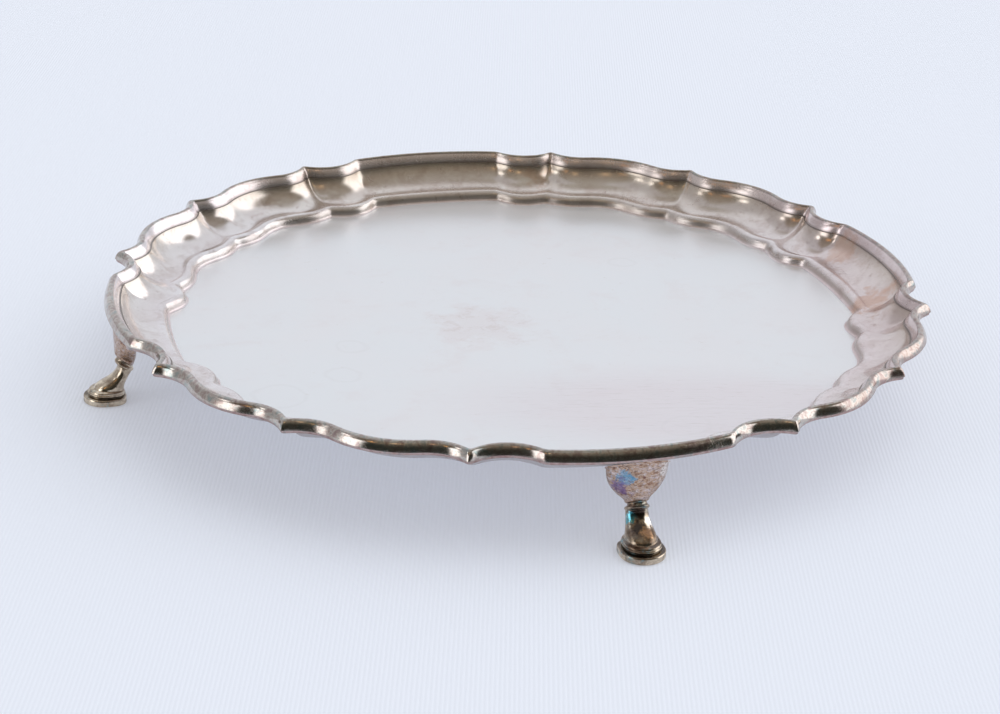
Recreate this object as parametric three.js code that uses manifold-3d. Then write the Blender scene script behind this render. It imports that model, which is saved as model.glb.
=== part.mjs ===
// Round serving salver with a scalloped ("pie-crust") moulded border, on four hoof feet.
// Millimetres, +Z up, origin on the table plane under the middle of the tray.
// The four feet point along +X, +Y, -X and -Y, and the border repeats every quarter turn.

import * as THREE from 'three';
import { mergeVertices } from 'three/addons/utils/BufferGeometryUtils.js';
import Module from 'manifold-3d';

const wasm = await Module();
wasm.setup();

// ---------------------------------------------------------------- driving dimensions

const QUARTER = Math.PI / 2;
const FIT_GAP = 0.3;           // left between pieces that are soldered together
const PLATE_TOP = 13.9;        // height of the flat serving surface above the table
const PLATE_THICKNESS = 1.1;
const PLATE_LAP = 3.0;         // how far the plate runs under the inner bead of the border
const PLATE_REBATE = 0.3;      // step down round the plate's edge that the border sits in

// Each edge line of the border is described over one quarter, measured from the foot's axis:
// a long sweep over the foot, a corner, a scoop up to a cusp, and a serpentine to the next cusp.
const CORNER_ANGLE = 12.1;
const CUSP_ANGLE = 21.1;
const MIDDLE_ANGLE = 45;
const DIP_OFFSET = 7.8;        // from the serpentine's middle to the bottom of either hollow
const OUTER_EDGE = {
  sweep: 100.6, corner: 99.9, scoop: 96.9, dip: 98.3, bulge: 100.8, dipRadius: 10.5,
};
const INNER_EDGE = {
  sweep: 84.4, corner: 85.1, scoop: 81.2, dip: 82.6, bulge: 85.0, dipRadius: 14,
};
const STEPS = { sweep: 6, scoop: 6, hollow: 4, bulge: 4 };

// Moulding section: distance in from the outer edge, and height above the table.
const BORDER_WIDTH = 16;       // nominal; the section stretches to the real width at each station
const BORDER_TOP = 24.1;
const BAND = { x: 1.25, z: 22.65, halfWidth: 1.25, halfHeight: 1.45, from: -0.62, to: -1.7 };
const FIRST_SLOPE = [[2.9, 22.5], [4.2, 22.0], [4.4, 21.6]];
const COVE = { top: [4.6, 21.25], bottom: [12.4, 16.2], sag: 1.2 };
const BORDER_BEAD = [[13.4, 16.5], [14.3, 16.1], [14.8, 15.1], [15.7, 14.3], [17.0, 13.9]];
const UNDERSIDE = [[13.2, 14.2], [10.6, 15.0], [7.2, 16.7], [4.4, 19.4], [2.6, 20.8], [1.4, 21.1]];

// Tiers of the hoof, as the plan each one follows before its edge is rounded.
const SOLE = { heel: 96.6, cheek: 98.6, toeCentre: 101.6, halfWidth: 5.0, heelHalfWidth: 4.2 };
const GROOVE = { heel: 97.2, cheek: 98.8, toeCentre: 100.9, halfWidth: 3.7, heelHalfWidth: 3.2 };
const WELT = { heel: 96.9, cheek: 98.7, toeCentre: 101.0, halfWidth: 4.1, heelHalfWidth: 3.5 };
const SOLE_HEIGHT = 1.75;
const GROOVE_HEIGHT = 0.35;
const WELT_HEIGHT = 1.2;
const TIER_LAP = 0.3;          // how far one tier runs into the next, so that they make one solid
const TIER_ROUNDING = 0.25;

// Leg and knee: [back x, back z, front x, front z, half width] at each station, bottom to top.
const LEG_FULLNESS = 0.45;
const KNEE_FULLNESS = 0.25;
const LEG_STATIONS = [
  [97.0, 2.6, 103.9, 2.9, 3.7],
  [96.9, 3.7, 103.6, 4.0, 3.35],
  [96.6, 4.8, 101.6, 5.3, 3.0],
  [95.9, 6.1, 99.4, 6.9, 2.7],
  [95.2, 7.2, 98.5, 8.4, 2.5],
  [94.9, 7.6, 98.3, 9.3, 2.45],
];
const COLLAR_STATIONS = [
  [94.9, 7.4, 98.3, 9.1, 2.3],
  [94.6, 7.7, 98.9, 9.8, 2.7],
  [94.6, 8.1, 98.9, 10.3, 2.7],
  [94.8, 8.4, 98.6, 10.8, 2.35],
];
const KNEE_STATIONS = [
  [94.6, 8.8, 98.6, 11.2, 2.3],
  [94.3, 9.9, 98.6, 12.0, 2.7],
  [94.1, 11.6, 98.7, 13.2, 4.3],
  [94.0, 14.2, 98.9, 15.4, 5.9],
  [94.0, 17.6, 99.0, 18.4, 6.9],
  [94.0, 23.5, 99.0, 23.5, 7.1],
];

// ---------------------------------------------------------------- materials

const SILVER = { metalness: 1.0, roughness: 0.16 };
const plateSilver = new THREE.MeshStandardMaterial({ ...SILVER, color: 0xe6e4e2 });
const borderSilver = new THREE.MeshStandardMaterial({ ...SILVER, color: 0xd6d0cd });
const kneeSilver = new THREE.MeshStandardMaterial({ ...SILVER, color: 0xc0aea2, roughness: 0.3 });
const legSilver = new THREE.MeshStandardMaterial({ ...SILVER, color: 0xc9bda6 });

// ---------------------------------------------------------------- solids

function toSolid(geometry) {
  const bare = geometry.clone();
  bare.deleteAttribute('normal');
  bare.deleteAttribute('uv');
  const welded = mergeVertices(bare, 1e-4);
  return new wasm.Manifold(new wasm.Mesh({
    numProp: 3,
    vertProperties: new Float32Array(welded.attributes.position.array),
    triVerts: new Uint32Array(welded.index.array),
  }));
}

function toGeometry(solid) {
  const mesh = solid.getMesh();
  const geometry = new THREE.BufferGeometry();
  geometry.setAttribute('position', new THREE.BufferAttribute(mesh.vertProperties, 3));
  geometry.setIndex(new THREE.BufferAttribute(mesh.triVerts, 1));
  geometry.computeVertexNormals();
  return geometry;
}

function moveVertices(geometry, place) {
  const position = geometry.attributes.position;
  const vertex = new THREE.Vector3();
  for (let i = 0; i < position.count; i += 1) {
    vertex.fromBufferAttribute(position, i);
    place(vertex);
    position.setXYZ(i, vertex.x, vertex.y, vertex.z);
  }
  return geometry;
}

// ---------------------------------------------------------------- the border's edge lines

function polar(radius, degrees) {
  const angle = THREE.MathUtils.degToRad(degrees);
  return new THREE.Vector2(radius * Math.cos(angle), radius * Math.sin(angle));
}

function arcBetween(centre, start, end) {
  const from = start.clone().sub(centre);
  const to = end.clone().sub(centre);
  const turn = Math.atan2(from.cross(to), from.dot(to));
  const first = from.angle();
  return new THREE.EllipseCurve(
    centre.x, centre.y, from.length(), from.length(), first, first + turn, turn < 0,
  );
}

function arcThrough(start, middle, end) {
  const a = middle.clone().sub(start);
  const b = end.clone().sub(start);
  const scale = 0.5 / a.cross(b);
  const centre = new THREE.Vector2(
    start.x + scale * (b.y * a.lengthSq() - a.y * b.lengthSq()),
    start.y + scale * (a.x * b.lengthSq() - b.x * a.lengthSq()),
  );
  return arcBetween(centre, start, end);
}

// Where the ray at an angle first meets a circle.
function rayMeets(centre, radius, degrees) {
  const ray = polar(1, degrees);
  const along = centre.dot(ray);
  return ray.multiplyScalar(along - Math.sqrt(radius ** 2 - centre.lengthSq() + along ** 2));
}

// Two hollows and the bulge between them, tangent to each other, from one cusp to the next.
function serpentine(edge) {
  const axis = (CUSP_ANGLE + MIDDLE_ANGLE) / 2;
  const hollow = polar(edge.dip + edge.dipRadius, axis - DIP_OFFSET);
  const farHollow = polar(edge.dip + edge.dipRadius, axis + DIP_OFFSET);
  const across = hollow.distanceTo(farHollow) / 2;
  const rise = hollow.dot(polar(1, axis)) - edge.bulge;
  const bulgeRadius = (across ** 2 + rise ** 2 - edge.dipRadius ** 2)
    / (2 * (edge.dipRadius - rise));
  const crown = polar(edge.bulge - bulgeRadius, axis);
  const tangency = edge.dipRadius / (edge.dipRadius + bulgeRadius);
  const join = hollow.clone().lerp(crown, tangency);
  const farJoin = farHollow.clone().lerp(crown, tangency);
  const cusp = rayMeets(hollow, edge.dipRadius, CUSP_ANGLE);
  const farCusp = rayMeets(farHollow, edge.dipRadius, MIDDLE_ANGLE);
  return [
    ...arcBetween(hollow, cusp, join).getPoints(STEPS.hollow),
    ...arcBetween(crown, join, farJoin).getPoints(STEPS.bulge).slice(1),
    ...arcBetween(farHollow, farJoin, farCusp).getPoints(STEPS.hollow).slice(1),
  ];
}

// Plan points of one edge line over a quarter, from -45 to +45 degrees.
function edgeLine(edge) {
  const corner = polar(edge.corner, CORNER_ANGLE);
  const nearCorner = polar(edge.corner, -CORNER_ANGLE);
  const wave = serpentine(edge);
  const scoopMiddle = polar(edge.scoop, (CORNER_ANGLE + CUSP_ANGLE) / 2);
  const scoop = arcThrough(corner, scoopMiddle, wave[0]).getPoints(STEPS.scoop);
  const sweep = arcThrough(nearCorner, polar(edge.sweep, 0), corner).getPoints(STEPS.sweep);
  const half = [...scoop, ...wave.slice(1)];
  const nearHalf = half.map((point) => new THREE.Vector2(point.x, -point.y)).reverse();
  return [...nearHalf, ...sweep.slice(1, -1), ...half];
}

const outerLine = edgeLine(OUTER_EDGE);
const innerLine = edgeLine(INNER_EDGE);
const STATIONS = outerLine.length - 1;
const SEAM_SQUEEZE = 1 - FIT_GAP / (INNER_EDGE.sweep * QUARTER);

function planPoint(station, inward) {
  return outerLine[station].clone().lerp(innerLine[station], inward / BORDER_WIDTH);
}

// Sweeps a section (distance in, height) along one quarter of the border.
function sweepSection(points) {
  const section = new THREE.Shape(points.map(([inward, height]) => new THREE.Vector2(inward, height)));
  const straight = new THREE.ExtrudeGeometry(section, { depth: 1, steps: STATIONS, bevelEnabled: false });
  return moveVertices(straight, (vertex) => {
    const point = planPoint(Math.round(vertex.z * STATIONS), vertex.x);
    const azimuth = Math.atan2(point.y, point.x) * SEAM_SQUEEZE;
    vertex.set(point.length() * Math.cos(azimuth), point.length() * Math.sin(azimuth), vertex.y);
  });
}

// ---------------------------------------------------------------- pieces

// Flat sheet whose outline follows the border at a given distance in from the outer edge.
function makeSheet(inward, thickness) {
  const outline = [];
  for (let quarter = 0; quarter < 4; quarter += 1) {
    for (let station = 0; station < STATIONS; station += 1) {
      const point = planPoint(station, inward);
      outline.push(point.rotateAround(new THREE.Vector2(), quarter * QUARTER));
    }
  }
  const sheet = new THREE.ExtrudeGeometry(new THREE.Shape(outline), {
    depth: thickness, bevelEnabled: false,
  });
  return toSolid(sheet.translate(0, 0, PLATE_TOP - PLATE_THICKNESS));
}

function makePlate() {
  const borderFoot = BORDER_BEAD[BORDER_BEAD.length - 1][0];
  const servingFace = makeSheet(borderFoot + FIT_GAP, PLATE_THICKNESS);
  const rim = makeSheet(borderFoot - PLATE_LAP, PLATE_THICKNESS - PLATE_REBATE);
  return toGeometry(servingFace.add(rim));
}

function coveCurve() {
  const top = new THREE.Vector2(...COVE.top);
  const bottom = new THREE.Vector2(...COVE.bottom);
  const normal = bottom.clone().sub(top).normalize().rotateAround(new THREE.Vector2(), -QUARTER);
  const middle = top.clone().lerp(bottom, 0.5).addScaledVector(normal, COVE.sag);
  return arcThrough(top, middle, bottom).getPoints(4).map((p) => [p.x, p.y]);
}

function bandCurve() {
  const band = new THREE.EllipseCurve(
    BAND.x, BAND.z, BAND.halfWidth, BAND.halfHeight, BAND.from * Math.PI, BAND.to * Math.PI, true,
  );
  return band.getPoints(4).map((p) => [p.x, p.y]);
}

function makeBorderSection() {
  return sweepSection([
    ...bandCurve(), ...FIRST_SLOPE, ...coveCurve(), ...BORDER_BEAD, ...UNDERSIDE,
  ]);
}

// Plan of one tier of the hoof: straight heel, cheeks that widen forward, and a round toe.
function hoofOutline(plan, inset) {
  const width = plan.halfWidth - inset;
  const heelWidth = plan.heelHalfWidth - inset;
  const heel = plan.heel + inset;
  const shape = new THREE.Shape();
  shape.moveTo(heel, -heelWidth);
  shape.quadraticCurveTo(plan.cheek, -width, plan.toeCentre, -width);
  shape.absarc(plan.toeCentre, 0, width, -QUARTER, QUARTER, false);
  shape.quadraticCurveTo(plan.cheek, width, heel, heelWidth);
  return shape;
}

function hoofTier(plan, bottom, height, rounding) {
  const tier = new THREE.ExtrudeGeometry(hoofOutline(plan, rounding), {
    depth: height - 2 * rounding,
    curveSegments: 7,
    bevelEnabled: rounding > 0,
    bevelThickness: rounding,
    bevelSize: rounding,
    bevelSegments: 1,
  });
  return toSolid(tier.translate(0, 0, bottom + rounding));
}

// Closed loft through stations of [back x, back z, front x, front z, half width].
// widest is how far from back to front the section is widest: 0.5 gives an oval.
function loft(stations, rows, sides, widest) {
  const backLine = new THREE.SplineCurve(stations.map((s) => new THREE.Vector2(s[0], s[1])));
  const frontLine = new THREE.SplineCurve(stations.map((s) => new THREE.Vector2(s[2], s[3])));
  const widthLine = new THREE.SplineCurve(stations.map((s, i) => new THREE.Vector2(i, s[4])));
  const tube = new THREE.CylinderGeometry(1, 1, 1, sides, rows);
  return moveVertices(tube, (vertex) => {
    const along = vertex.y + 0.5;
    const back = backLine.getPoint(along);
    const front = frontLine.getPoint(along);
    const halfWidth = widthLine.getPoint(along).y;
    const share = widest + (vertex.z > 0 ? 1 - widest : widest) * vertex.z;
    const spot = back.lerp(front, share);
    vertex.set(spot.x, vertex.x * halfWidth, spot.y);
  });
}

function makeLeg() {
  const tiers = [
    hoofTier(SOLE, 0, SOLE_HEIGHT, TIER_ROUNDING),
    hoofTier(GROOVE, SOLE_HEIGHT - TIER_LAP, GROOVE_HEIGHT + 2 * TIER_LAP, 0),
    hoofTier(WELT, SOLE_HEIGHT + GROOVE_HEIGHT, WELT_HEIGHT, TIER_ROUNDING),
  ];
  const shank = toSolid(loft(LEG_STATIONS, 8, 14, LEG_FULLNESS));
  const collar = toSolid(loft(COLLAR_STATIONS, 4, 14, LEG_FULLNESS));
  return toGeometry(tiers.reduce((sum, tier) => sum.add(tier), shank.add(collar)));
}

function makeKnee() {
  const lowered = UNDERSIDE.map(([inward, height]) => [inward, height - FIT_GAP]);
  const bandFoot = lowered[lowered.length - 1][1];
  const clearance = [...lowered, [0, bandFoot], [0, BORDER_TOP], [lowered[0][0], BORDER_TOP]];
  const knee = toSolid(loft(KNEE_STATIONS, 9, 18, KNEE_FULLNESS));
  return toGeometry(knee.subtract(toSolid(sweepSection(clearance))));
}

// ---------------------------------------------------------------- assembly

const salver = new THREE.Group();

function addMesh(name, geometry, material, turn = 0) {
  const mesh = new THREE.Mesh(geometry, material);
  mesh.name = name;
  mesh.rotation.z = turn;
  salver.add(mesh);
}

addMesh('tray_plate', makePlate(), plateSilver);

const borderGeometry = makeBorderSection();
const kneeGeometry = makeKnee();
const legGeometry = makeLeg();
['right', 'back', 'left', 'front'].forEach((side, index) => {
  const turn = index * QUARTER;
  addMesh(`border_section_${side}`, borderGeometry, borderSilver, turn);
  addMesh(`knee_bracket_${side}`, kneeGeometry, kneeSilver, turn);
  addMesh(`hoof_leg_${side}`, legGeometry, legSilver, turn);
});

export default salver;
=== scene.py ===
"""Footed silver salver.

The visible pieces, their finishes and a plain studio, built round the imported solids.
"""

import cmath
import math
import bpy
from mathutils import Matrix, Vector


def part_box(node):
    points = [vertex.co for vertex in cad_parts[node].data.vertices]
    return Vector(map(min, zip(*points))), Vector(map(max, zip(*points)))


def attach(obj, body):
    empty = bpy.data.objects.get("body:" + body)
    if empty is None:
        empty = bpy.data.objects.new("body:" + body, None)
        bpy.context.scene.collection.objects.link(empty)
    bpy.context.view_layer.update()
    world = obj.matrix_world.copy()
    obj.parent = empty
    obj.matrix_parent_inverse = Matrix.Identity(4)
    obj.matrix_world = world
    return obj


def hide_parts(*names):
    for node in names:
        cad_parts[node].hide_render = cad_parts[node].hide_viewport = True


bl_info = {
    "name": "Footed Salver",
    "version": (1, 0, 0),
    "blender": (4, 5, 0),
    "location": "3D View > Sidebar > Salver",
    "description": "Builds a scalloped salver on hoof feet, with its silver finishes and a plain studio",
    "category": "Add Mesh",
}

import bmesh
import bpy
from mathutils import Matrix, Vector

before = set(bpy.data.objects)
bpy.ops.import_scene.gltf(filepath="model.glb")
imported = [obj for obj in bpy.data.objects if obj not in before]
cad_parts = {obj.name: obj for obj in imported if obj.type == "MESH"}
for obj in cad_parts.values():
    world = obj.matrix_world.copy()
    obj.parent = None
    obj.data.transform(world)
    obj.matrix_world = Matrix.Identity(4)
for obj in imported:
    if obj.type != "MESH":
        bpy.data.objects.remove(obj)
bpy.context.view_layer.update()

# Plan and section sizes below are in millimetres; MM turns them into metres as vertices are placed.
MM = 0.001
SIDES = ("right", "back", "left", "front")
QUARTER = math.pi / 2

# Edge lines over one quarter, measured from the foot's axis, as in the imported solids.
CORNER_ANGLE = 12.1
CUSP_ANGLE = 21.1
MIDDLE_ANGLE = 45.0
DIP_OFFSET = 7.8
OUTER_EDGE = {"sweep": 100.6, "corner": 99.9, "scoop": 96.9, "dip": 98.3, "bulge": 100.8, "hollow": 10.5}
INNER_EDGE = {"sweep": 84.4, "corner": 85.1, "scoop": 81.2, "dip": 82.6, "bulge": 85.0, "hollow": 14.0}
LINE_STEPS = {"sweep": 70, "scoop": 26, "hollow": 22, "bulge": 30}
BORDER_WIDTH = 16.0

# How far in from the outer edge the plate starts, and how much smaller its underside is than its top.
PLATE_REACH = 15.5
PLATE_TAPER = 0.966

# Height of the marks on the plate in metres, and the turn that lines a pattern up with the viewer in radians.
PLATE_LEVEL = 0.0139
VIEWER_TURN = 0.277

# Moulding section as cubic curves of (distance in, height) points, each with its number of steps: from the
# band's lower lip over the top and down the cove to the plate, then back up the underside.
SECTION_CURVES = (
    (((0.95, 21.06), (0.60, 21.08), (0.42, 21.14), (0.38, 21.26)), 4),
    (((0.38, 21.26), (0.34, 21.48), (0.30, 21.64), (0.28, 21.78)), 3),
    (((0.28, 21.78), (0.20, 21.84), (0.08, 21.86), (0.03, 21.95)), 3),
    (((0.03, 21.95), (0.33, 23.10), (0.90, 24.08), (1.75, 24.08)), 16),
    (((1.75, 24.08), (2.05, 24.08), (2.28, 23.93), (2.40, 23.62)), 7),
    (((2.40, 23.62), (2.85, 23.25), (3.40, 22.40), (3.70, 21.55)), 8),
    (((3.70, 21.55), (3.78, 21.36), (3.92, 21.30), (4.06, 21.36)), 4),
    (((4.06, 21.36), (5.10, 19.10), (8.30, 16.40), (12.25, 16.22)), 24),
    (((12.25, 16.22), (12.60, 16.24), (12.95, 16.34), (13.25, 16.34)), 4),
    (((13.25, 16.34), (14.35, 16.30), (15.05, 15.55), (15.25, 14.60)), 12),
    (((15.25, 14.60), (15.32, 14.15), (15.60, 13.92), (16.10, 13.86)), 6),
    (((16.10, 13.86), (15.70, 13.84), (15.10, 14.10), (14.50, 14.60)), 3),
    (((14.50, 14.60), (13.40, 15.70), (9.00, 15.95), (6.40, 18.05)), 12),
    (((6.40, 18.05), (5.20, 19.10), (4.30, 20.10), (3.60, 20.60)), 6),
    (((3.60, 20.60), (3.00, 21.10), (1.80, 21.04), (0.95, 21.06)), 5),
)


class SalverSizes(bpy.types.PropertyGroup):
    """Sizes that a maker would change."""

    rim_softness: bpy.props.IntProperty(
        name="Rim softness", description="Smoothing passes on the cusps of the outer edge", default=2, min=0
    )
    bead_softness: bpy.props.IntProperty(
        name="Bead softness", description="Smoothing passes on the cusps of the inner bead", default=14, min=0
    )
    plate_top: bpy.props.FloatProperty(
        name="Plate top",
        description="Height of the serving surface above the table",
        default=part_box("tray_plate")[1].z,
        unit="LENGTH",
    )
    plate_underside: bpy.props.FloatProperty(
        name="Plate underside",
        description="Height of the plate's underside above the table",
        default=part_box("tray_plate")[0].z,
        unit="LENGTH",
    )
    floor_size: bpy.props.FloatProperty(
        name="Floor size", description="Side of the square cloth", default=6.0, unit="LENGTH"
    )


class SalverFinish(bpy.types.PropertyGroup):
    """Colours and lights of the finish and the studio."""

    plate_colour: bpy.props.FloatVectorProperty(
        name="Plate", description="Clean silver of the plate", subtype="COLOR", default=(0.84, 0.852, 0.877)
    )
    border_colour: bpy.props.FloatVectorProperty(
        name="Border", description="Clean silver of the border", subtype="COLOR", default=(0.96, 0.94, 0.94)
    )
    cloth_colour: bpy.props.FloatVectorProperty(
        name="Cloth", description="Pale cloth under the tray", subtype="COLOR", default=(0.515, 0.553, 0.624)
    )
    # Painted fill light: an even glow on the cloth that lifts the shade round and under the tray.
    cloth_painted_fill_glow: bpy.props.FloatVectorProperty(
        name="Cloth glow", description="Light that comes up through the thin cloth", subtype="COLOR",
        default=(0.282, 0.282, 0.298),
    )
    backdrop_colour: bpy.props.FloatVectorProperty(
        name="Backdrop", description="Pale screen behind the tray", subtype="COLOR",
        default=(0.77, 0.80, 0.85),
    )
    fill_colour: bpy.props.FloatVectorProperty(
        name="Fill light", description="Soft light from all round", subtype="COLOR",
        default=(0.63, 0.64, 0.65),
    )
    key_colour: bpy.props.FloatVectorProperty(
        name="Key light", description="Soft light from behind on the right", subtype="COLOR",
        default=(1.70, 1.70, 1.70), max=4.0,
    )
    wall_colour: bpy.props.FloatVectorProperty(
        name="Wall", description="Plain wall round the studio", subtype="COLOR", default=(0.83, 0.86, 0.93)
    )


# ---------------------------------------------------------------- edge lines, in the complex plane


def polar(radius, degrees):
    """Point at a radius and an angle."""
    return cmath.rect(radius, math.radians(degrees))


def arc(centre, start, end, steps):
    """Points from start to end round a centre, the short way."""
    turn = cmath.phase((end - centre) / (start - centre))
    return [centre + (start - centre) * cmath.rect(1, turn * i / steps) for i in range(steps + 1)]


def arc_through(start, middle, end, steps):
    """Points of the arc through three given ones."""
    w = (end - start) / (middle - start)
    centre = start + (middle - start) * (w - abs(w) ** 2) / (2j * w.imag)
    return arc(centre, start, end, steps)


def ray_meets(centre, radius, degrees):
    """Where the ray from the middle at an angle first meets a circle."""
    ray = polar(1, degrees)
    along = (centre * ray.conjugate()).real
    return ray * (along - math.sqrt(radius**2 - abs(centre) ** 2 + along**2))


def serpentine(edge):
    """Two hollows and the bulge between them, from one cusp to the next."""
    axis = (CUSP_ANGLE + MIDDLE_ANGLE) / 2
    radius = edge["hollow"]
    near = polar(edge["dip"] + radius, axis - DIP_OFFSET)
    far = polar(edge["dip"] + radius, axis + DIP_OFFSET)
    across = abs(far - near) / 2
    rise = (near * polar(1, axis).conjugate()).real - edge["bulge"]
    bulge_radius = (across**2 + rise**2 - radius**2) / (2 * (radius - rise))
    crown = polar(edge["bulge"] - bulge_radius, axis)
    share = radius / (radius + bulge_radius)
    join = near + (crown - near) * share
    far_join = far + (crown - far) * share
    cusp = ray_meets(near, radius, CUSP_ANGLE)
    far_cusp = ray_meets(far, radius, MIDDLE_ANGLE)
    return (
        arc(near, cusp, join, LINE_STEPS["hollow"])
        + arc(crown, join, far_join, LINE_STEPS["bulge"])[1:]
        + arc(far, far_join, far_cusp, LINE_STEPS["hollow"])[1:]
    )


def edge_line(edge):
    """Plan points of one edge line over a quarter, from -45 to just before +45 degrees."""
    corner = polar(edge["corner"], CORNER_ANGLE)
    wave = serpentine(edge)
    scoop_middle = polar(edge["scoop"], (CORNER_ANGLE + CUSP_ANGLE) / 2)
    scoop = arc_through(corner, scoop_middle, wave[0], LINE_STEPS["scoop"])
    sweep = arc_through(corner.conjugate(), polar(edge["sweep"], 0), corner, LINE_STEPS["sweep"])
    half = scoop + wave[1:]
    near_half = [p.conjugate() for p in reversed(half)]
    return near_half + sweep[1:-1] + half[:-1]


def whole_line(edge, passes):
    """The edge line all the way round, with its cusps rounded by smoothing passes."""
    quarter = edge_line(edge)
    line = [p * cmath.rect(1, QUARTER * turn) for turn in range(4) for p in quarter]
    for _ in range(passes):
        line = [(line[i - 1] + 2 * p + line[(i + 1) % len(line)]) / 4 for i, p in enumerate(line)]
    return line


def cubic(points, steps):
    """Points of a cubic curve, without its last one."""
    a, b, c, d = (complex(*p) for p in points)
    ts = [i / steps for i in range(steps)]
    return [a * (1 - t) ** 3 + 3 * b * t * (1 - t) ** 2 + 3 * c * t**2 * (1 - t) + d * t**3 for t in ts]


# ---------------------------------------------------------------- meshes


def close_skin(bm, sharp_degrees):
    """Welds the seam of a wrapped grid, fills its two open ends and softens all but its sharp edges."""
    bmesh.ops.remove_doubles(bm, verts=bm.verts, dist=1e-6)
    bmesh.ops.holes_fill(bm, edges=[e for e in bm.edges if e.is_boundary], sides=0)
    bmesh.ops.recalc_face_normals(bm, faces=bm.faces)
    for face in bm.faces:
        face.smooth = True
    for edge in bm.edges:
        edge.smooth = edge.calc_face_angle(0) < math.radians(sharp_degrees)


def wrapped_skin(rows, columns, place, sharp_degrees=38, marks=None):
    """A grid moved onto a closed tube: place(row, column) gives each point, and columns wrap round.

    marks, where given, is a number for each column that materials read as the attribute "across".
    """
    bm = bmesh.new()
    bmesh.ops.create_grid(bm, x_segments=columns, y_segments=rows - 1, size=0.5)
    across = bm.verts.layers.float.new("across")
    bm.verts.ensure_lookup_table()
    for index, vert in enumerate(bm.verts):
        row, column = divmod(index, columns + 1)
        vert.co = place(row, column % columns)
        if marks:
            vert[across] = marks[column % columns]
    close_skin(bm, sharp_degrees)
    return bm


def finish_piece(bm, name, material, node, turn=0.0):
    """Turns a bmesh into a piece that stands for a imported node."""
    bmesh.ops.rotate(bm, verts=bm.verts, cent=(0, 0, 0), matrix=Matrix.Rotation(turn, 3, "Z"))
    mesh = bpy.data.meshes.new(name)
    bm.to_mesh(mesh)
    bm.free()
    piece = bpy.data.objects.new(name, mesh)
    bpy.context.scene.collection.objects.link(piece)
    mesh.materials.append(material)
    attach(piece, "root")
    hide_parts(node)


def border_plan(sizes):
    """Outer and inner lines of the whole border."""
    return whole_line(OUTER_EDGE, sizes.rim_softness), whole_line(INNER_EDGE, sizes.bead_softness)


def border_bmesh(sizes):
    """One quarter of the border: the section swept along the edge lines."""
    outer, inner = border_plan(sizes)
    section = [p for points, steps in SECTION_CURVES for p in cubic(points, steps)]
    marks = [i + k / steps for i, (_, steps) in enumerate(SECTION_CURVES) for k in range(steps)]
    rows = len(outer) // 4 + 1

    def place(row, column):
        inward, height = section[column].real, section[column].imag
        share = inward / BORDER_WIDTH
        point = outer[row % len(outer)] * (1 - share) + inner[row % len(outer)] * share
        return Vector((point.real, point.imag, height)) * MM

    return wrapped_skin(rows, len(section), place, marks=marks)


def spline(stations, t):
    """Catmull-Rom value of every column of a table at t from 0 to 1."""
    last = len(stations) - 1
    at = min(t, 1 - 1e-9) * last
    i = int(at)
    f = at - i
    rows = [stations[max(0, min(last, i + k))] for k in (-1, 0, 1, 2)]
    return [
        0.5 * (2 * b + (c - a) * f + (2 * a - 5 * b + 4 * c - d) * f * f + (3 * b - a - 3 * c + d) * f**3)
        for a, b, c, d in zip(*rows)
    ]


def loft_point(station, angle, squareness):
    """Point of one station (back x, back z, front x, front z, half width, widest share) at an angle."""
    back_x, back_z, front_x, front_z, half_width, widest = station
    c, s = math.cos(angle), math.sin(angle)
    power = 2 / (squareness if c < 0 else 2.0)
    along = math.copysign(abs(c) ** power, c)
    across = math.copysign(abs(s) ** power, s)
    share = widest + (1 - widest if along > 0 else widest) * along
    x = back_x + (front_x - back_x) * share
    z = back_z + (front_z - back_z) * share
    return Vector((x, across * half_width, z)) * MM


# Knee, from the neck up: back x and z, front x and z, half width and where it is widest. Its top is cut
# to the slope of the border's underside, and ends in a thin flange.
KNEE_STATIONS = (
    (95.0, 8.9, 98.2, 11.0, 1.9, 0.4),
    (94.6, 9.1, 98.7, 11.5, 2.5, 0.4),
    (94.3, 10.0, 98.9, 12.1, 2.9, 0.35),
    (94.1, 11.2, 98.9, 13.1, 4.2, 0.3),
    (94.0, 12.4, 98.95, 14.3, 5.2, 0.28),
    (94.0, 13.7, 99.0, 15.9, 6.1, 0.25),
    (94.0, 14.9, 99.05, 17.6, 6.6, 0.25),
    (94.0, 16.4, 99.1, 19.5, 6.85, 0.25),
    (94.0, 17.1, 99.15, 20.2, 6.9, 0.25),
    (94.0, 17.3, 99.5, 20.4, 7.15, 0.25),
    (94.0, 17.7, 99.5, 20.85, 7.15, 0.25),
)

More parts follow.
